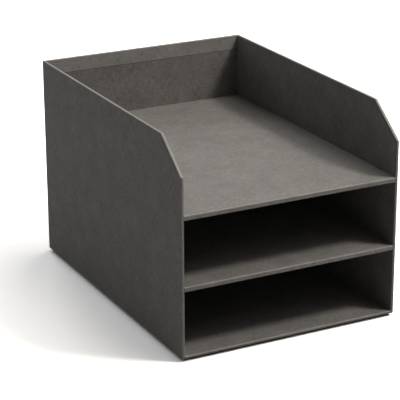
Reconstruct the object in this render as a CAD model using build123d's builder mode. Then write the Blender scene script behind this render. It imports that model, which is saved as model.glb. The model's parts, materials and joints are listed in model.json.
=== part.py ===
"""Three-level letter tray of paper-covered fibreboard.

Two open compartments stand under an open top tray. Flat boards are glued edge to edge: two sides,
a back, a bottom and two shelves. One sheet of cover paper runs round the outside and is folded over
every free edge, and lining papers close the inside. A thin inset board carries the body clear of
the desk. Nothing moves.

Millimetres. X runs across the tray, Y from the open front to the back, Z up.
Origin: centre of the footprint, on the desk.
"""
import os
from build123d import *

# ---- driving dimensions -------------------------------------------------------------------
outer_width = 240.0         # across the covered sides
outer_depth = 332.0         # covered front edges to covered back
lower_height = 66.25        # clear height of the lower compartment
upper_height = 67.0         # clear height of the compartment above it
tray_wall_height = 70.0     # walls above the floor of the open top tray
slope_depth = 41.5          # sloped front corner of each side, measured along the depth
slope_drop = 32.0           # the same slope, measured down the front

wall_board = 2.5            # fibreboard of the sides and the back
floor_board = 2.5           # fibreboard of the bottom
shelf_board = 4.5           # fibreboard of the two shelves
plinth_board = 2.5          # fibreboard of the inset base
paper = 0.25                # cover and lining paper with its glue

edge_round = 0.8            # covered edge of a side or the back
shelf_round = 1.0           # covered front edge of a shelf or the bottom
plinth_inset = 3.5          # base set in from the outside faces
edge_fold = 1.2             # cover paper folded over an edge onto the inside
back_fold = 15.8            # the same fold on the inside of the back, left in sight
lining_gap = 0.4            # open joint between that fold and the back lining

# ---- levels and inner faces ---------------------------------------------------------------
wall = wall_board + 2 * paper
floor_total = floor_board + 2 * paper
shelf_total = shelf_board + 2 * paper
plinth_top = plinth_board + paper
bottom_top = plinth_top + floor_total
middle_under = bottom_top + lower_height
middle_top = middle_under + shelf_total
top_under = middle_top + upper_height
top_floor = top_under + shelf_total
rim = top_floor + tray_wall_height
front_y = -outer_depth / 2
back_y = outer_depth / 2
side_x = outer_width / 2
inner_x = side_x - wall
inner_back_y = back_y - wall
board_x = inner_x + paper
board_back_y = inner_back_y + paper


def side_outline(inset, back_end):
    """Outline of a side seen along X: moved in by inset from its edges, and ended at back_end."""
    slope_length = (slope_depth**2 + slope_drop**2) ** 0.5
    top_shift = inset * (slope_length - slope_depth) / slope_drop
    front_shift = inset * (slope_length - slope_drop) / slope_depth
    return [
        (front_y + inset, plinth_top + inset),
        (back_end, plinth_top + inset),
        (back_end, rim - inset),
        (front_y + slope_depth + top_shift, rim - inset),
        (front_y + inset, rim - slope_drop - front_shift),
    ]


def covered_edges(body):
    """Every edge of the open-fronted shell but its two inside back corners."""
    upright = body.edges().filter_by(Axis.Z)
    inside = upright.filter_by(lambda edge: abs(edge.center().X) < side_x - wall_board / 2)
    corners = inside.filter_by(lambda edge: edge.center().Y > 0)
    return body.edges() - corners


# ---- the shell as one volume: outside of the papers, then outside of the boards ---------------
with BuildPart() as shell:
    with BuildSketch(Plane.YZ.offset(-side_x)):
        with BuildLine():
            Polyline(*side_outline(0, back_y), close=True)
        make_face()
    extrude(amount=outer_width)
    with BuildSketch(Plane.XY.offset(plinth_top)):
        with Locations((0, (front_y + inner_back_y) / 2)):
            Rectangle(2 * inner_x, inner_back_y - front_y)
    extrude(amount=rim, mode=Mode.SUBTRACT)
    fillet(covered_edges(shell), edge_round)

with BuildPart() as board_shell:
    with BuildSketch(Plane.YZ.offset(-side_x + paper)):
        with BuildLine():
            Polyline(*side_outline(paper, back_y - paper), close=True)
        make_face()
    extrude(amount=outer_width - 2 * paper)
    with BuildSketch(Plane.XY.offset(plinth_top)):
        with Locations((0, (front_y + board_back_y) / 2)):
            Rectangle(2 * board_x, board_back_y - front_y)
    extrude(amount=rim, mode=Mode.SUBTRACT)
    fillet(covered_edges(board_shell), edge_round - paper)

# ---- boards of the sides and the back ----------------------------------------------------
with BuildPart() as left_side_board:
    add(board_shell.part)
    split(bisect_by=Plane.YZ.offset(-board_x), keep=Keep.BOTTOM)

with BuildPart() as right_side_board:
    add(board_shell.part)
    split(bisect_by=Plane.YZ.offset(board_x), keep=Keep.TOP)

with BuildPart() as back_board:
    add(board_shell.part)
    split(bisect_by=Plane.YZ.offset(-board_x), keep=Keep.TOP)
    split(bisect_by=Plane.YZ.offset(board_x), keep=Keep.BOTTOM)

# ---- lining papers: one on each side, one on the back below the fold of the cover ----------
with BuildPart() as left_lining:
    with BuildSketch(Plane.YZ.offset(-board_x)):
        with BuildLine():
            Polyline(*side_outline(edge_fold, board_back_y), close=True)
        make_face()
    extrude(amount=paper)

with BuildPart() as right_lining:
    add(mirror(left_lining.part, about=Plane.YZ, mode=Mode.PRIVATE))

with BuildPart() as back_lining:
    with BuildSketch(Plane.XZ.offset(-inner_back_y)):
        with Locations((0, (plinth_top + edge_fold + rim - back_fold - lining_gap) / 2)):
            Rectangle(2 * inner_x, rim - back_fold - lining_gap - plinth_top - edge_fold)
    extrude(amount=-paper)

# ---- outer cover: one sheet over both sides, the back and every free edge ------------------
with BuildPart() as outer_cover:
    add(shell.part)
    add(board_shell.part, mode=Mode.SUBTRACT)
    add(left_lining.part, mode=Mode.SUBTRACT)
    add(right_lining.part, mode=Mode.SUBTRACT)
    with BuildSketch(Plane.XZ.offset(-inner_back_y)):
        with Locations((0, (plinth_top + edge_fold + rim - back_fold) / 2)):
            Rectangle(2 * inner_x, rim - back_fold - plinth_top - edge_fold)
    extrude(amount=-paper, mode=Mode.SUBTRACT)

# ---- bottom and shelves: a board, and a paper folded over its front edge -------------------
levels = {
    "bottom": (plinth_top, floor_total),
    "middle_shelf": (middle_under, shelf_total),
    "top_shelf": (top_under, shelf_total),
}
level_pieces = []
shelf_length = inner_back_y - front_y
for level_name, (underside, thickness) in levels.items():
    with BuildPart() as level_board:
        with BuildSketch(Plane.YZ.offset(-inner_x)):
            with Locations((front_y + paper, underside + thickness / 2)):
                Rectangle(shelf_length - paper, thickness - 2 * paper, align=(Align.MIN, Align.CENTER))
            fillet(vertices().group_by(Axis.X)[0], shelf_round - paper)
        extrude(amount=2 * inner_x)
    with BuildPart() as level_cover:
        with BuildSketch(Plane.YZ.offset(-inner_x)):
            with Locations((front_y, underside + thickness / 2)):
                Rectangle(shelf_length, thickness, align=(Align.MIN, Align.CENTER))
            fillet(vertices().group_by(Axis.X)[0], shelf_round)
        extrude(amount=2 * inner_x)
        add(level_board.part, mode=Mode.SUBTRACT)
    level_board.part.label = level_name + "_board"
    level_cover.part.label = level_name + "_cover"
    level_pieces += [level_board.part, level_cover.part]

# ---- inset base: a board in its own paper, which closes the underside and meets the desk ---
plinth_width = outer_width - 2 * plinth_inset
plinth_depth = outer_depth - 2 * plinth_inset
with BuildPart() as base_board:
    with BuildSketch(Plane.XY.offset(paper)):
        Rectangle(plinth_width - 2 * paper, plinth_depth - 2 * paper)
    extrude(amount=plinth_board)

with BuildPart() as base_cover:
    with BuildSketch(Plane.XY):
        Rectangle(plinth_width, plinth_depth)
    extrude(amount=plinth_top)
    add(base_board.part, mode=Mode.SUBTRACT)

# ---- names and files -----------------------------------------------------------------------
left_side_board.part.label = "left_side_board"
right_side_board.part.label = "right_side_board"
back_board.part.label = "back_board"
left_lining.part.label = "left_lining"
right_lining.part.label = "right_lining"
back_lining.part.label = "back_lining"
outer_cover.part.label = "outer_cover"
base_board.part.label = "base_board"
base_cover.part.label = "base_cover"

shell_pieces = [
    left_side_board.part,
    right_side_board.part,
    back_board.part,
    left_lining.part,
    right_lining.part,
    back_lining.part,
    outer_cover.part,
    base_board.part,
    base_cover.part,
]
os.makedirs("parts", exist_ok=True)
for piece in shell_pieces + level_pieces:
    export_step(piece, "parts/" + piece.label + ".step")
    print(piece.label, "volume", round(piece.volume), "mm3, solids", len(piece.solids()))
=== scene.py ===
# %% [markdown]
# # A letter tray of paper-covered board
# The tray is a rigid desk organiser: flat fibreboards, glued edge to edge, with dark grey paper
# pasted over them. The boards, papers and their places come ready from the frame. This file gives
# each paper its grain, folds the outer cover and cuts the linings as a bookbinder would, and then
# lights and photographs the tray. We start by loading the frame and keeping its size.

# %% Load the frame
import json
import math
import bmesh
import bpy
from mathutils import Matrix, Vector


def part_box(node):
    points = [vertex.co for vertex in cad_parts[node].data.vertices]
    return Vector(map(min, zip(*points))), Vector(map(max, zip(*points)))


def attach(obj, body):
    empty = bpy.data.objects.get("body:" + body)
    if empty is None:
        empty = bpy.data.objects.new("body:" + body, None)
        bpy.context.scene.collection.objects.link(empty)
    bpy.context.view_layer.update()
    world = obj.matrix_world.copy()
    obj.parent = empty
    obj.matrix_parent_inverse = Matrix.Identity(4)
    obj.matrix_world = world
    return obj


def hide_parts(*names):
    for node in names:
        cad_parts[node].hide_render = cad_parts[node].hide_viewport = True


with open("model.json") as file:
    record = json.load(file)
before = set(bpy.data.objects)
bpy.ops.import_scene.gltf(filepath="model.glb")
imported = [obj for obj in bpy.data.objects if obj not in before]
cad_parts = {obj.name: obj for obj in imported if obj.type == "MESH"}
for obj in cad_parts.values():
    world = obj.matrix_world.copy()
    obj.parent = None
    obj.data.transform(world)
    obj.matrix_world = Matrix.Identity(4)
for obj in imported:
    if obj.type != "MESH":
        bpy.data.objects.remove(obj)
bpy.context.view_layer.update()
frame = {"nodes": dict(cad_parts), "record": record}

MM = 0.001      # m

# %% [markdown]
# ## Sizes
# Every size comes from the real tray, in millimetres, and every place comes from the frame's own
# nodes, so that the papers lie on the boards with no fitting. The sloped front corner is the one
# shape that a box around a node doesn't tell, so it is repeated here.

# %% Sizes of the folded paper
PAPER = 0.25 * MM           # thickness of the paper with its glue
EDGE_FOLD = 1.2 * MM        # cover paper turned over an edge onto the inside
BACK_FOLD = 15.8 * MM       # the same on the inside of the back, left in sight
EDGE_ROUND = 0.8 * MM       # how softly a covered edge is rounded
SLOPE_DEPTH = 41.5 * MM     # sloped front corner, along the depth
SLOPE_DROP = 32.0 * MM      # the same, down the front
HAIR = 0.01 * MM            # how near two places are to count as the same
SQUARE = 0.999              # how much of a face's normal lies along an axis to count as all of it

shell_low, shell_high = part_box("outer_cover")
inner_low, inner_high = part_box("top_shelf_cover")
WALL = inner_low.x - shell_low.x
print("shell", [round(v / MM, 2) for v in shell_high - shell_low], "mm,",
      "wall", round(WALL / MM, 2), "mm")

# %% [markdown]
# ## Working by hand, in code
# In Blender's window a maker opens a piece in edit mode, clicks on some of its faces, edges or
# points, and uses a tool on them. These helpers do the opening and the clicking: the choice is made
# by place or direction, which stays right when a size changes.

# %% Open, pick and close
def open_piece(piece):
    """Selects one piece alone and opens it in edit mode."""
    bpy.ops.object.select_all(action="DESELECT")
    piece.select_set(True)
    bpy.context.view_layer.objects.active = piece
    bpy.ops.object.mode_set(mode="EDIT")


def pick(kind, wanted):
    """Selects the points (VERT), edges (EDGE) or faces (FACE) of the open piece that are wanted."""
    bpy.ops.mesh.select_mode(type=kind)
    bpy.ops.mesh.select_all(action="DESELECT")
    mesh = bmesh.from_edit_mesh(bpy.context.edit_object.data)
    parts = {"VERT": mesh.verts, "EDGE": mesh.edges, "FACE": mesh.faces}[kind]
    chosen = [part for part in parts if wanted(part)]
    for part in chosen:
        part.select_set(True)
    mesh.select_flush_mode()
    bmesh.update_edit_mesh(bpy.context.edit_object.data)
    return len(chosen)


def close_piece():
    """Leaves edit mode."""
    bpy.ops.object.mode_set(mode="OBJECT")

# %% [markdown]
# A block between two corners is the start of every piece here. Its place is applied at once, so
# that the object sits at the origin and a pattern in the material doesn't slide.

# %% A block to start from
def block(name, low, high):
    """A new box between two corners, with its place in its mesh."""
    bpy.ops.object.select_all(action="DESELECT")
    bpy.ops.mesh.primitive_cube_add(size=1.0, location=(low + high) / 2)
    piece = bpy.context.object
    piece.name = name
    piece.scale = high - low
    bpy.ops.object.transform_apply(location=True, rotation=True, scale=True)
    return piece

# %% [markdown]
# ## The outer cover: bend the sheet
# On the real tray one large sheet is pasted round the left side, the back and the right side, and
# its margins are turned over every free edge. A solid with the right outside would look alike from
# afar, but a sheet gives true folds, true corners and a true edge where it ends. We start from a
# block the size of the tray, take away its front, top and bottom, and cut the two front corners
# along the slope. What is left is the sheet, bent twice.

# %% Bend the cover sheet
slope_away = Vector((0, -SLOPE_DROP, SLOPE_DEPTH)).normalized()
slope_start = Vector((0, shell_low.y + SLOPE_DEPTH, shell_high.z))

cover = block("folded_cover_sheet", shell_low, shell_high)
open_piece(cover)
pick("FACE", lambda face: face.normal.y < -SQUARE or abs(face.normal.z) > SQUARE)
bpy.ops.mesh.delete(type="FACE")
bpy.ops.mesh.select_all(action="SELECT")
bpy.ops.mesh.bisect(plane_co=slope_start, plane_no=slope_away, clear_outer=True)
close_piece()
print("bent sheet:", len(cover.data.polygons), "faces,", len(cover.data.vertices), "points")

# %% [markdown]
# ## The outer cover: turn the margins over the edges
# The free edges of the sheet go across the thickness of the walls. They are extruded in place, and
# the new points are moved in: towards the middle for the sides, forward for the back. At the two
# back corners both moves add up to the mitre that a paper margin has there.

# %% Turn the margins over the walls
open_piece(cover)
pick("EDGE", lambda edge: edge.is_boundary)
bpy.ops.mesh.extrude_region_move(TRANSFORM_OT_translate={"value": (0, 0, 0)})
bpy.ops.transform.resize(value=(inner_high.x / shell_high.x, 1, 1), center_override=(0, 0, 0))
moved = pick("VERT", lambda point: point.is_boundary and point.co.y > shell_high.y - HAIR)
bpy.ops.transform.translate(value=(0, -WALL, 0))
close_piece()
print("margins turned over,", moved, "points moved forward with the back")

# %% [markdown]
# Then each margin is turned down onto the inside. We close the three inside faces, inset the sides
# by the width of the turned margin and take their middles away, so that a ring is left. The back
# keeps its top strip, because there the real cover comes further down and stays in sight.

# %% Turn the margins down on the inside
open_piece(cover)
for side in (-1, 1):
    pick("VERT", lambda point: point.is_boundary and abs(point.co.x - side * inner_high.x) < HAIR)
    bpy.ops.mesh.edge_face_add()
pick("VERT", lambda point: point.is_boundary and abs(point.co.y - inner_high.y) < HAIR)
bpy.ops.mesh.edge_face_add()


def faces_inwards(face, axis, place):
    """True for a face that lies across an axis at a place."""
    middle = face.calc_center_median()
    return abs(face.normal[axis]) > SQUARE and abs(middle[axis] - place) < HAIR


for side in (-1, 1):
    pick("FACE", lambda face: faces_inwards(face, 0, side * inner_high.x))
    bpy.ops.mesh.inset(thickness=EDGE_FOLD, use_even_offset=True)
    bpy.ops.mesh.delete(type="FACE")
pick("FACE", lambda face: faces_inwards(face, 1, inner_high.y))
fold_end = shell_high.z - BACK_FOLD
bpy.ops.mesh.bisect(plane_co=(0, 0, fold_end), plane_no=(0, 0, 1))
pick("FACE", lambda face: faces_inwards(face, 1, inner_high.y)
     and face.calc_center_median().z < fold_end)
bpy.ops.mesh.delete(type="FACE")
close_piece()
print("folded sheet:", len(cover.data.polygons), "faces")

# %% [markdown]
# ## The outer cover: where the sheet ends
# A sheet that goes round three walls has two ends, and they have to meet. On boxes like this they
# meet on the back, near a corner, where nobody looks. The joint is a hair of open space between two
# straight cuts. It stops short of the top and bottom, where the turned margins lie across it.

# %% Joint of the sheet's two ends
JOINT_FROM_CORNER = 16 * MM     # from its middle to the outside of the right wall
JOINT_WIDTH = 0.35 * MM
JOINT_STOP = 2.5 * MM           # how far it stays from the bottom and the top


def on_back(face):
    """True for the outside faces of the back."""
    return faces_inwards(face, 1, shell_high.y)


open_piece(cover)
joint_x = shell_high.x - JOINT_FROM_CORNER
joint_low = shell_low.z + JOINT_STOP
joint_high = shell_high.z - JOINT_STOP
for place in (joint_x - JOINT_WIDTH / 2, joint_x + JOINT_WIDTH / 2):
    pick("FACE", on_back)
    bpy.ops.mesh.bisect(plane_co=(place, 0, 0), plane_no=(1, 0, 0))
for place in (joint_low, joint_high):
    pick("FACE", lambda face: on_back(face)
         and abs(face.calc_center_median().x - joint_x) < JOINT_WIDTH / 2)
    bpy.ops.mesh.bisect(plane_co=(0, 0, place), plane_no=(0, 0, 1))
opened = pick("FACE", lambda face: on_back(face)
              and abs(face.calc_center_median().x - joint_x) < JOINT_WIDTH / 2
              and joint_low < face.calc_center_median().z < joint_high)
bpy.ops.mesh.delete(type="FACE")
close_piece()
print("joint opened:", opened, "strip at x", round(joint_x / MM, 1), "mm")

# %% [markdown]
# ## The outer cover: soften and thicken
# Paper can't turn a sharp corner round a board. Every fold gets the small radius of the board's
# rubbed edge, and then Solidify gives the sheet its quarter of a millimetre, inwards. Weighted
# normals keep the wide faces flat in the shading, so that only the folds look round.

# %% Round the folds and give the sheet its thickness
SHARP_FOLD = 20     # degrees, past which two faces meet in a fold
FOLD_SHADING = 35   # degrees, up to which the facets of a fold are shaded as one curve


def is_fold(edge):
    """True for a sharp edge of the sheet that isn't one of the two inside back corners."""
    middle = (edge.verts[0].co + edge.verts[1].co) / 2
    inside_corner = abs(abs(middle.x) - inner_high.x) < HAIR and abs(middle.y - inner_high.y) < HAIR
    if edge.is_boundary or not edge.is_manifold or inside_corner:
        return False
    return edge.calc_face_angle() > math.radians(SHARP_FOLD)


def finish_with(piece, kind, **settings):
    """Adds one modifier to a piece, sets it and applies it."""
    bpy.ops.object.select_all(action="DESELECT")
    piece.select_set(True)
    bpy.context.view_layer.objects.active = piece
    modifier = piece.modifiers.new(kind.lower(), kind)
    for key, value in settings.items():
        setattr(modifier, key, value)
    bpy.ops.object.modifier_apply(modifier=modifier.name)


def shade_folds(piece, angle):
    """Shades the selected piece round where its faces meet within an angle, and flat elsewhere."""
    bpy.ops.object.shade_smooth_by_angle(angle=math.radians(angle))
    finish_with(piece, "WEIGHTED_NORMAL", keep_sharp=True, weight=100)


open_piece(cover)
bpy.ops.mesh.select_all(action="SELECT")
bpy.ops.mesh.normals_make_consistent(inside=False)
folds = pick("EDGE", is_fold)
bpy.ops.mesh.bevel(offset=EDGE_ROUND, segments=4, affect="EDGES", clamp_overlap=True)
close_piece()
finish_with(cover, "SOLIDIFY", thickness=PAPER, offset=-1.0, use_even_offset=True)
shade_folds(cover, FOLD_SHADING)
print("cover:", folds, "folds,", len(cover.data.polygons), "faces")

# %% [markdown]
# ## Pale edges: wear and painted highlight
# The dye cracks at a fold and rubs off where hands slide along a rim, so the real edges are paler
# than the walls. The same pale mark is also painted on: as a highlight on the rims, slopes and folds,
# and as painted light on the upright front edges and on the strip inside the back. The material has
# to know which faces those are, and how pale. An attribute says it: a number on each face, from 0 on
# a wall to 1 on the sloped corners, that travels with the mesh.

# %% Mark the worn faces and the painted highlights
def mark_worn_and_lit(piece, how_much):
    """Writes the pale mark of wear and painted highlight on the piece's faces, from 0 for none to 1.
    """
    rubbed_and_lit = piece.data.attributes.new("rubbed_and_lit", "FLOAT", "FACE")
    marks = [how_much(face) for face in piece.data.polygons]
    rubbed_and_lit.data.foreach_set("value", marks)
    print(piece.name, "has", sum(mark > 0 for mark in marks), "rubbed faces of", len(marks))


SLOPE_WORN_AND_LIT = 1.0      # the sloped corners, worn where a hand reaches in, and painted as a highlight
RIM_WORN_AND_LIT = 0.42       # the tops of the walls, worn and painted as a highlight
FRONT_WORN_AND_LIT = 0.38     # their upright front edges: wear, and painted light from the front
CORNER_WORN_AND_LIT = 0.08    # the other folds, which hands hardly touch: a faint painted highlight
STRIP_PAINTED_LIGHT = 0.44     # painted light on the strip inside the back, high up where more light falls


def cover_worn_and_lit(face):
    """How pale one face of the cover is marked, for wear and painted highlight and light."""
    across_x = abs(face.normal.x) > SQUARE
    across_y = abs(face.normal.y) > SQUARE
    if across_y and abs(face.center.y - inner_high.y) < HAIR:
        return STRIP_PAINTED_LIGHT
    # The walls are untouched. A tiny facet that faces the same way is part of a corner.
    if (across_x and face.area > WALL * WALL) or (across_y and face.center.y > 0):
        return 0.0
    if face.center.z < shell_high.z - SLOPE_DROP:
        return FRONT_WORN_AND_LIT if face.center.y < shell_low.y + EDGE_ROUND else CORNER_WORN_AND_LIT
    # Above the foot of the slope, whatever leans to the front is on the slope.
    return SLOPE_WORN_AND_LIT if face.normal.y < -0.3 else RIM_WORN_AND_LIT


mark_worn_and_lit(cover, cover_worn_and_lit)
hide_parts("outer_cover")
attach(cover, "root")

# %% [markdown]
# ## Shelves: a sheet round each front edge
# Each shelf, and the bottom, is covered by one sheet that lies on top, turns down over the front
# edge and comes back underneath. It is bent as the outer cover is: a block without its back and its
# ends, with the two front folds rounded and the paper given its thickness. Its sides are cut along
# the walls, and a bisect sets off a narrow strip at each, which is painted pale as a highlight along
# the foot of the wall. All three are made by the same steps, because in the workshop they are.

# %% Wrap the shelves and the bottom
LEVELS = ("bottom", "middle_shelf", "top_shelf")
SHELF_ROUND = 1.0 * MM      # the front edges of the shelves are a little rounder than the walls
WALL_GLINT_STRIP = 0.9 * MM        # strip along the walls where the sheet is cut, painted pale as a highlight at the wall's foot
WALL_GLINT_LEVEL = 0.7      # how pale that painted highlight is
SHELF_FOLD_WORN_AND_LIT = 0.68         # the two folds on the front edge: a painted highlight, with wear
SHELF_FRONT_WORN_AND_LIT = 0.28   # the flat front between them: painted light, with wear


def sheet_worn_and_lit(face):
    """How pale one face of a shelf's sheet is marked: painted highlight and light, with wear."""
    if face.normal.z > SQUARE and abs(face.center.x) > inner_high.x - WALL_GLINT_STRIP:
        return WALL_GLINT_LEVEL
    if face.normal.y < -SQUARE:
        return SHELF_FRONT_WORN_AND_LIT
    on_fold = 1 - SQUARE < abs(face.normal.z) < SQUARE
    # The lowest fold, under the tray, gets no pale mark, so it stays dark in the shade there.
    under_the_tray = face.normal.z < 0 and face.center.z < shell_low.z + SHELF_ROUND
    return SHELF_FOLD_WORN_AND_LIT if on_fold and not under_the_tray else 0.0


for level in LEVELS:
    low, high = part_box(level + "_cover")
    sheet = block(level + "_sheet", low, high)
    open_piece(sheet)
    pick("FACE", lambda face: face.normal.y > SQUARE or abs(face.normal.x) > SQUARE)
    bpy.ops.mesh.delete(type="FACE")
    pick("EDGE", lambda edge: not edge.is_boundary)
    bpy.ops.mesh.bevel(offset=SHELF_ROUND, segments=5, affect="EDGES", clamp_overlap=True)
    for side in (-1, 1):
        bpy.ops.mesh.select_all(action="SELECT")
        bpy.ops.mesh.bisect(plane_co=(side * (high.x - WALL_GLINT_STRIP), 0, 0), plane_no=(1, 0, 0))
    close_piece()
    finish_with(sheet, "SOLIDIFY", thickness=PAPER, offset=-1.0, use_even_offset=True)
    shade_folds(sheet, FOLD_SHADING)
    mark_worn_and_lit(sheet, sheet_worn_and_lit)
    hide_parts(level + "_cover")
    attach(sheet, "root")

# %% [markdown]
# ## The linings
# The insides of the walls are lined with cut sheets of the same paper, pasted on last, a hair short
# of the turned margin. The lining is a sheet that stops in sight, so it has a soft cut edge, stands
# a tenth of a millimetre proud, and leaves a thin dark line round the walls. Three blocks as thin
# as paper are enough. The two side linings are cut along the slope as the walls are.

# %% Cut the three linings
LINING_GAP = 0.35 * MM      # open joint between the turned margin and the lining
BACK_TRIM = 0.25 * MM       # cut off below the fold in the back, where the frame has an open joint
PROUD = 0.12 * MM           # how far the lining stands out
CUT_EDGE = 0.1 * MM         # softness of its cut edge
CUT_SHADING = 50            # degrees, up to which the facets of that edge are shaded as one curve

slope_margin = EDGE_FOLD + LINING_GAP
inward_from = {"left": Vector((1, 0, 0)), "right": Vector((-1, 0, 0)), "back": Vector((0, -1, 0))}
for name, inward in inward_from.items():
    low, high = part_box(name + "_lining")
    # A side lining has joints at its front, bottom and top, the back lining at bottom and top.
    if name == "back":
        trim_low, trim_high = Vector((HAIR, 0, LINING_GAP)), Vector((HAIR, 0, BACK_TRIM))
    else:
        trim_low, trim_high = Vector((0, LINING_GAP, LINING_GAP)), Vector((0, 0, LINING_GAP))
    low = low + trim_low + Vector([min(v, 0) * PROUD for v in inward])
    high = high - trim_high + Vector([max(v, 0) * PROUD for v in inward])
    lining = block(name + "_lining_sheet", low, high)
    open_piece(lining)
    if name != "back":
        bpy.ops.mesh.select_all(action="SELECT")
        bpy.ops.mesh.bisect(plane_co=slope_start - slope_away * slope_margin, plane_no=slope_away,
                            clear_outer=True, use_fill=True)
    seen_edges = pick("EDGE", lambda edge: any(face.normal.dot(inward) > SQUARE
                                               for face in edge.link_faces))
    bpy.ops.mesh.bevel(offset=CUT_EDGE, segments=2, affect="EDGES", clamp_overlap=True)
    close_piece()
    shade_folds(lining, CUT_SHADING)
    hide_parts(name + "_lining")
    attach(lining, "root")
    print(lining.name, [round(v / MM, 2) for v in high - low], "mm,", seen_edges, "cut edges")

# %% [markdown]
# ## Helpers for materials
# A material is a small tree of nodes. One helper turns a colour as a painter writes it, a hex
# value, into the linear values that the renderer adds up. Another adds one node, sets it and links
# it, so that each material below reads as a list of steps. The last two start a new material, one
# of them for all that is made of pressed plant fibre, as the papers and the boards are.

# %% Colour and node helpers
FIBRE_IOR = 1.5     # refractive index of plant fibre
GLOSS = 0.3         # specular level, low because light gets lost between the open fibres


def linear(hex_colour):
    """An sRGB hex colour as linear red, green, blue and alpha."""
    values = [int(hex_colour[i:i + 2], 16) / 255 for i in (1, 3, 5)]
    return [v / 12.92 if v < 0.04045 else ((v + 0.055) / 1.055) ** 2.4 for v in values] + [1.0]


def add(tree, kind, links=None, **settings):
    """Adds one node, sets it, and fills its inputs: links maps an input to an output or a value."""
    node = tree.nodes.new(kind)
    for key, value in settings.items():
        setattr(node, key, value)
    for socket, source in (links or {}).items():
        if hasattr(source, "is_output"):
            tree.links.new(source, node.inputs[socket])
        else:
            node.inputs[socket].default_value = source
    return node


def empty_material(name):
    """A new material with nothing in its tree, and that tree."""
    material = bpy.data.materials.new(name)
    material.use_nodes = True
    material.node_tree.nodes.clear()
    return material, material.node_tree


def fibre_material(name):
    """A new material with its output and a dull shader, its tree and that shader."""
    material, tree = empty_material(name)
    shader = add(tree, "ShaderNodeBsdfPrincipled",
                 {"IOR": FIBRE_IOR, "Specular IOR Level": GLOSS})
    add(tree, "ShaderNodeOutputMaterial", {"Surface": shader.outputs["BSDF"]})
    return material, tree, shader

# %% [markdown]
# ## Canvas-embossed paper: the threads
# The real skin is a strong uncoated paper, dyed through in a warm dark grey and pressed between
# rollers that carry a canvas grain. The grain crosses at right angles and follows each face. An
# image of cloth would need unwrapping, and its seams would show at every fold. Instead each axis
# gets a noise that is stretched along it, and a face shows the two axes that lie in it: the one
# that points out of a face is left out there. Real threads lie half a millimetre apart, which is
# under one pixel of the photograph, so they are drawn about a millimetre wide.

# %% Threads along the three axes
THREAD_WIDTH = 1.0      # mm, drawn coarser than the real half millimetre so that it shows
THREAD_LENGTH = 7.0     # mm, how far a thread keeps its tone
THREAD_WEIGHT = (1.1, 0.7, 1.25)    # how much the threads along X, Y and Z stand out


def stretched(axis):
    """Scale of a noise, per mm, that is long along one axis and a thread wide across it."""
    return [1 / THREAD_LENGTH if i == axis else 1 / THREAD_WIDTH for i in range(3)]


def canvas_threads(tree, millimetres, facing):
    """The crossing threads of the emboss, around zero, from a place in mm and a face's direction."""
    grain = None
    for axis in range(3):
        scaled = add(tree, "ShaderNodeVectorMath",
                     {0: millimetres, 1: stretched(axis)}, operation="MULTIPLY")
        thread = add(tree, "ShaderNodeTexNoise",
                     {"Vector": scaled.outputs[0], "Scale": 1.0, "Detail": 1.0, "Roughness": 0.5})
        centred = add(tree, "ShaderNodeMath", {0: thread.outputs[0], 1: 0.5}, operation="SUBTRACT")
        in_face = add(tree, "ShaderNodeMath", {0: 1.0, 1: facing.outputs[axis]}, operation="SUBTRACT")
        in_face = add(tree, "ShaderNodeMath", {0: in_face.outputs[0], 1: THREAD_WEIGHT[axis]},
                      operation="MULTIPLY")
        shown = add(tree, "ShaderNodeMath", {0: centred.outputs[0], 1: in_face.outputs[0]},
                    operation="MULTIPLY")
        if grain is None:
            grain = shown
        else:
            grain = add(tree, "ShaderNodeMath", {0: grain.outputs[0], 1: shown.outputs[0]},
                        operation="ADD")
    return grain

# %% [markdown]
# ## Canvas-embossed paper: the finish
# Three more things make it paper and not cloth. It is faintly cloudy, because pulp and dye never
# spread evenly. It has no shine: light scatters in its open fibres, so the roughness is high and
# varies a little with the grain. And it is paler, in patches that follow the threads, on the faces
# that are marked: there the dye is worn, and there highlight and light are painted on.

# %% Canvas-embossed paper
DYED = "#73716E"        # the paper's own shade, a warm dark grey
RAISED = "#86827F"      # its palest threads
SUNKEN = "#5F5D5B"      # the hollows between them
PALE_WEAR_AND_LIGHT = "#ABA9A6"       # pale of worn dye, also the colour of the painted highlights and light
CLOUD = 24.0            # mm, size of the cloudy patches
FIBRE = 0.35            # mm, size of the fine fibre speckle
EMBOSS = 0.12 * MM      # depth of the emboss
TONE_START = 0.15       # the tone before clouds, speckle and threads are added
CLOUD_SHARE = 0.55      # how much each of them adds
FIBRE_SHARE = 0.15
THREAD_SHARE = 0.7
THREAD_POLISH = 0.2     # how much smoother a raised thread is than a hollow


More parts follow.
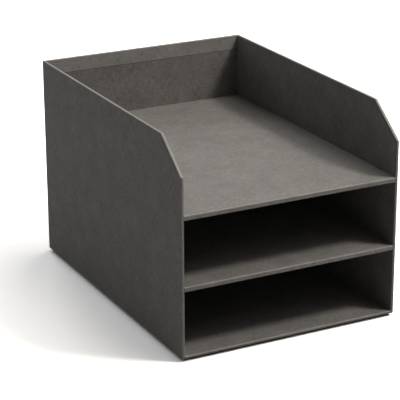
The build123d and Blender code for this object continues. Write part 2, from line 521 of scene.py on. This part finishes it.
def canvas_paper(name, roughness):
    """Dyed paper with an embossed canvas grain, paler where marked: wear and painted highlight."""
    material, tree, shader = fibre_material(name)
    place = add(tree, "ShaderNodeTexCoord")
    millimetres = add(tree, "ShaderNodeVectorMath", {0: place.outputs["Object"], 1: [1 / MM] * 3},
                      operation="MULTIPLY").outputs[0]
    turned = add(tree, "ShaderNodeVectorMath", {0: place.outputs["Normal"]}, operation="ABSOLUTE")
    facing = add(tree, "ShaderNodeSeparateXYZ", {"Vector": turned.outputs[0]})
    grain = canvas_threads(tree, millimetres, facing)
    cloud = add(tree, "ShaderNodeTexNoise", {"Vector": millimetres, "Scale": 1 / CLOUD, "Detail": 3.0})
    fibre = add(tree, "ShaderNodeTexNoise", {"Vector": millimetres, "Scale": 1 / FIBRE, "Detail": 1.0})
    tone = add(tree, "ShaderNodeMath", {0: cloud.outputs[0], 1: CLOUD_SHARE, 2: TONE_START},
               operation="MULTIPLY_ADD")
    tone = add(tree, "ShaderNodeMath", {0: fibre.outputs[0], 1: FIBRE_SHARE, 2: tone.outputs[0]},
               operation="MULTIPLY_ADD")
    tone = add(tree, "ShaderNodeMath", {0: grain.outputs[0], 1: THREAD_SHARE, 2: tone.outputs[0]},
               operation="MULTIPLY_ADD")
    ramp = add(tree, "ShaderNodeValToRGB", {"Fac": tone.outputs[0]})
    ramp.color_ramp.elements[0].position = 0.15
    ramp.color_ramp.elements[0].color = linear(SUNKEN)
    ramp.color_ramp.elements[1].position = 0.85
    ramp.color_ramp.elements[1].color = linear(RAISED)
    ramp.color_ramp.elements.new(0.5).color = linear(DYED)
    # The pale mark, wear and painted highlight, is full where the tone is light, half in the hollows.
    marked = add(tree, "ShaderNodeAttribute", attribute_name="rubbed_and_lit", attribute_type="GEOMETRY")
    patchy = add(tree, "ShaderNodeMapRange",
                 {"Value": tone.outputs[0], "From Min": 0.2, "From Max": 0.7, "To Min": 0.5})
    pale_mark = add(tree, "ShaderNodeMath", {0: marked.outputs["Fac"], 1: patchy.outputs[0]},
               operation="MULTIPLY")
    colour = add(tree, "ShaderNodeMix", {0: pale_mark.outputs[0], 6: ramp.outputs["Color"],
                                         7: linear(PALE_WEAR_AND_LIGHT)}, data_type="RGBA")
    tree.links.new(colour.outputs[2], shader.inputs["Base Color"])
    uneven = add(tree, "ShaderNodeMath", {0: grain.outputs[0], 1: -THREAD_POLISH, 2: roughness},
                 operation="MULTIPLY_ADD")
    tree.links.new(uneven.outputs[0], shader.inputs["Roughness"])
    relief = add(tree, "ShaderNodeMath", {0: fibre.outputs[0], 1: FIBRE_SHARE, 2: grain.outputs[0]},
                 operation="MULTIPLY_ADD")
    bump = add(tree, "ShaderNodeBump", {"Strength": 0.6, "Distance": EMBOSS,
                                        "Height": relief.outputs[0]})
    tree.links.new(bump.outputs[0], shader.inputs["Normal"])
    print("material", name, "nodes", len(tree.nodes))
    return material


# Outside paper: a warm dark grey without shine, smoothed a little by hands.
cover_paper = canvas_paper("canvas_embossed_cover_paper", roughness=0.8)
# Lining paper: from the same roll, a little rougher, because hands seldom slide along the inside.
lining_paper = canvas_paper("canvas_embossed_lining_paper", roughness=0.82)

# %% [markdown]
# ## Black base paper and the board itself
# The thin base under the tray is covered with plain black paper, which has pulp fibres but no
# emboss. Its black is partly painted shade: it fills the narrow gap under the tray's edges, where
# shade falls. The boards show only in the hair-wide joints between papers and, seen from below,
# nowhere else. Their fibreboard is coloured brown-black, which darkens those joints, and it is
# speckled with paler fibres.

# %% Pulp with fibres, for base paper and fibreboard
CLOUD_IN_PULP = 0.3     # how much the cloudy patches show beside the fibres


def pulp(name, ground, fibres, fibre_length, fibre_share, roughness):
    """Pressed pulp: an even ground with short fibres lying in all directions."""
    material, tree, shader = fibre_material(name)
    place = add(tree, "ShaderNodeTexCoord")
    millimetres = add(tree, "ShaderNodeVectorMath", {0: place.outputs["Object"], 1: [1 / MM] * 3},
                      operation="MULTIPLY").outputs[0]
    strand = add(tree, "ShaderNodeTexNoise", {"Vector": millimetres, "Scale": 1 / fibre_length,
                                              "Detail": 4.0, "Distortion": 1.5})
    cloud = add(tree, "ShaderNodeTexNoise", {"Vector": millimetres, "Scale": 1 / CLOUD, "Detail": 2.0})
    shown = add(tree, "ShaderNodeMapRange", {"Value": strand.outputs[0], "From Min": 1 - fibre_share,
                                             "From Max": 1.0 - fibre_share / 2})
    mixed = add(tree, "ShaderNodeMath",
                {0: cloud.outputs[0], 1: CLOUD_IN_PULP, 2: shown.outputs[0]},
                operation="MULTIPLY_ADD", use_clamp=True)
    colour = add(tree, "ShaderNodeMix", {0: mixed.outputs[0], 6: linear(ground), 7: linear(fibres)},
                 data_type="RGBA")
    tree.links.new(colour.outputs[2], shader.inputs["Base Color"])
    bump = add(tree, "ShaderNodeBump", {"Strength": 0.5, "Distance": EMBOSS / 2,
                                        "Height": strand.outputs[0]})
    tree.links.new(bump.outputs[0], shader.inputs["Normal"])
    shader.inputs["Roughness"].default_value = roughness
    print("material", name, "nodes", len(tree.nodes))
    return material


# Black kraft paper: very dark, dull, with faint short fibres; its darkness is partly painted shade in
# the gap under the tray.
base_paper = pulp("black_kraft_paper_gap_shade", ground="#1E1D1C", fibres="#2E2C2A",
                  fibre_length=0.9, fibre_share=0.42, roughness=0.85)
# Fibreboard: brown-black with paler fibres, which darkens the joints.
fibreboard = pulp("dark_fibreboard", ground="#39352F", fibres="#5A5349",
                  fibre_length=1.4, fibre_share=0.42, roughness=0.9)

# %% [markdown]
# ## Put the papers on
# Every node of the frame names its material slot, and each slot has its material here.

# %% Give each piece its material
finish_of_slot = {"cover_paper": cover_paper, "lining_paper": lining_paper,
                  "base_paper": base_paper, "fibreboard": fibreboard}
for part in frame["record"]["subparts"]:
    node = frame["nodes"][part["node"]]
    node.data.materials.clear()
    node.data.materials.append(finish_of_slot[part["material_slot"]])
cover.data.materials.append(cover_paper)
for level in LEVELS:
    bpy.data.objects[level + "_sheet"].data.materials.append(cover_paper)
for name in inward_from:
    bpy.data.objects[name + "_lining_sheet"].data.materials.append(lining_paper)
print("materials on", len(frame["nodes"]), "nodes and 7 new pieces")

# %% [markdown]
# ## The camera
# The photograph is taken with a long lens, from the left of the open front and a little above. Its
# place and aim were worked out from the tray's straight edges.

# %% Camera
CAMERA_AT = Vector((-0.7836, -1.4992, 0.7062))     # m
TURN_RIGHT = 27.14      # degrees from straight back
LOOK_DOWN = 19.95       # degrees under the horizon
TILT = -0.27            # degrees, the frame's slight lean
LENS = 154.15           # mm
SENSOR = 36.0           # mm, its width

camera = bpy.data.objects.new("camera", bpy.data.cameras.new("camera"))
bpy.context.scene.collection.objects.link(camera)
aim = Matrix.Rotation(math.radians(-TURN_RIGHT), 3, "Z")
aim = aim @ Matrix.Rotation(math.radians(90 - LOOK_DOWN), 3, "X")
aim = aim @ Matrix.Rotation(math.radians(TILT), 3, "Z")
camera.rotation_euler = aim.to_euler()
camera.location = CAMERA_AT
camera.data.lens = LENS
camera.data.sensor_width = SENSOR
bpy.context.scene.camera = camera
print("camera", [round(v, 3) for v in camera.location], "lens", LENS)

# %% [markdown]
# ## The white floor
# The tray stands on a white sweep without a horizon. To the lamps it is a plain matt floor that
# throws a little soft light back up. To the camera it is a white over 1 with a glow of its own, so
# that it turns pure white away from the tray and keeps its shadow. The glow fades out close to the
# tray, a painted contact shadow under its edges.

# %% Floor
FLOOR_SIZE = 4.4        # m
FLOOR_BOUNCE = 0.30     # share of light that the floor sends back to the tray
FLOOR_WHITE = 1.5       # how white the camera sees it, over 1 so that it clips to pure white
FLOOR_GLOW = 0.27       # a glow that only the camera sees, also in the shadow
CONTACT_SHADE_REACH = 9 * MM        # how near the tray the glow fades, a painted contact shadow

bpy.ops.object.select_all(action="DESELECT")
bpy.ops.mesh.primitive_plane_add(size=FLOOR_SIZE, location=(0, 0, 0))
floor = bpy.context.object
floor.name = "floor"


def seen_directly(tree):
    """1 for rays that come from the camera, a reflection or glass, and 0 for rays that light."""
    path = add(tree, "ShaderNodeLightPath")
    seen = add(tree, "ShaderNodeMath", {0: path.outputs["Is Camera Ray"],
                                        1: path.outputs["Is Glossy Ray"]}, operation="MAXIMUM")
    return add(tree, "ShaderNodeMath", {0: seen.outputs[0], 1: path.outputs["Is Transmission Ray"]},
               operation="MAXIMUM").outputs[0]


floor_material, tree = empty_material("white_sweep")
lit = add(tree, "ShaderNodeBsdfDiffuse", {"Color": [FLOOR_BOUNCE] * 3 + [1.0]})
white = add(tree, "ShaderNodeBsdfDiffuse", {"Color": [FLOOR_WHITE] * 3 + [1.0]})
# Ambient occlusion fades the glow near the tray: a painted contact shadow.
contact_shade_mask = add(tree, "ShaderNodeAmbientOcclusion", {"Distance": CONTACT_SHADE_REACH}, samples=16)
camera_glow = add(tree, "ShaderNodeMath", {0: contact_shade_mask.outputs["AO"], 1: FLOOR_GLOW},
                 operation="MULTIPLY")
glow = add(tree, "ShaderNodeEmission", {"Color": (1.0, 1.0, 1.0, 1.0),
                                        "Strength": camera_glow.outputs[0]})
table = add(tree, "ShaderNodeAddShader", {0: white.outputs[0], 1: glow.outputs[0]})
either = add(tree, "ShaderNodeMixShader", {0: seen_directly(tree), 1: lit.outputs[0],
                                           2: table.outputs[0]})
add(tree, "ShaderNodeOutputMaterial", {"Surface": either.outputs[0]})
floor.data.materials.append(floor_material)
print("floor", floor.dimensions.x, "m wide")

# %% [markdown]
# ## Room light
# The room itself gives almost nothing, because the insides of the compartments go nearly black. A
# trace of light keeps them from being a hole. The camera sees the room as white.

# %% Room
AMBIENT = 0.005         # strength of the light from all around
world = bpy.data.worlds.new("studio")
bpy.context.scene.world = world
world.use_nodes = True
tree = world.node_tree
tree.nodes.clear()
room = add(tree, "ShaderNodeBackground", {"Color": (1.0, 1.0, 1.0, 1.0), "Strength": AMBIENT})
white = add(tree, "ShaderNodeBackground", {"Color": (1.0, 1.0, 1.0, 1.0), "Strength": 1.0})
mixed = add(tree, "ShaderNodeMixShader", {0: seen_directly(tree), 1: room.outputs[0],
                                          2: white.outputs[0]})
add(tree, "ShaderNodeOutputWorld", {"Surface": mixed.outputs[0]})
print("room light", AMBIENT)

# %% [markdown]
# ## Lamps
# The shadow tells where the lamps stood. It falls to the left and back, so the main light is at the
# front right. It has a dark core with a wide soft border, so two boxes stand there: a small strong
# one and a large weak one. The tray's floor is brighter than any upright face, so a third box hangs
# overhead. A fourth, low behind the tray, lights the back and grazes the walls, and two weak ones
# fill the sides. The one at the left is so low that it hardly reaches into the tray.

# %% Soft boxes
TARGET = Vector((0, 0, 0.11))   # m, the middle of the tray
LAMP_DISTANCE = 2.5             # m, from there to each lamp
WARM = (1.06, 1.0, 0.94)        # tint of the lamps in front and above, a touch warmer than white
PLAIN = (1.0, 1.0, 1.0)         # tint of the others


def soft_box(name, azimuth, elevation, size, level, tint):
    """A round lamp, aimed at the tray: azimuth 0 is to the right and 90 to the back.

    A level of 1 lights a sheet that faces the lamp just as its colour is written.
    """
    turn, rise = math.radians(azimuth), math.radians(elevation)
    towards = Vector((math.cos(turn) * math.cos(rise), math.sin(turn) * math.cos(rise),
                      math.sin(rise)))
    lamp = bpy.data.objects.new(name, bpy.data.lights.new(name, "AREA"))
    bpy.context.scene.collection.objects.link(lamp)
    lamp.location = TARGET + towards * LAMP_DISTANCE
    lamp.rotation_euler = towards.to_track_quat("Z", "Y").to_euler()
    lamp.data.shape = "DISK"
    lamp.data.size = size
    lamp.data.color = tint
    # A lamp of energy P watts and area S has radiance P / (pi S), and a small one at distance d
    # gives an irradiance of P / (pi d^2), which a white sheet sends back as P / (pi^2 d^2).
    lamp.data.energy = level * (math.pi * LAMP_DISTANCE) ** 2
    print(name, "level", level)


soft_box("key_box", azimuth=-41, elevation=53, size=0.48, level=0.51, tint=WARM)
soft_box("front_box", azimuth=-43, elevation=51, size=1.9, level=0.17, tint=WARM)
soft_box("rear_box", azimuth=90, elevation=30, size=1.4, level=0.36, tint=PLAIN)
soft_box("overhead_box", azimuth=0, elevation=75, size=1.3, level=0.29, tint=WARM)
soft_box("side_box", azimuth=45, elevation=35, size=1.3, level=0.13, tint=PLAIN)
soft_box("left_box", azimuth=180, elevation=7, size=0.6, level=0.055, tint=PLAIN)

# %% [markdown]
# ## Last things
# The picture is shown with the Standard view transform, so that a colour comes out as it is written.

# %% View
bpy.context.scene.view_settings.view_transform = "Standard"
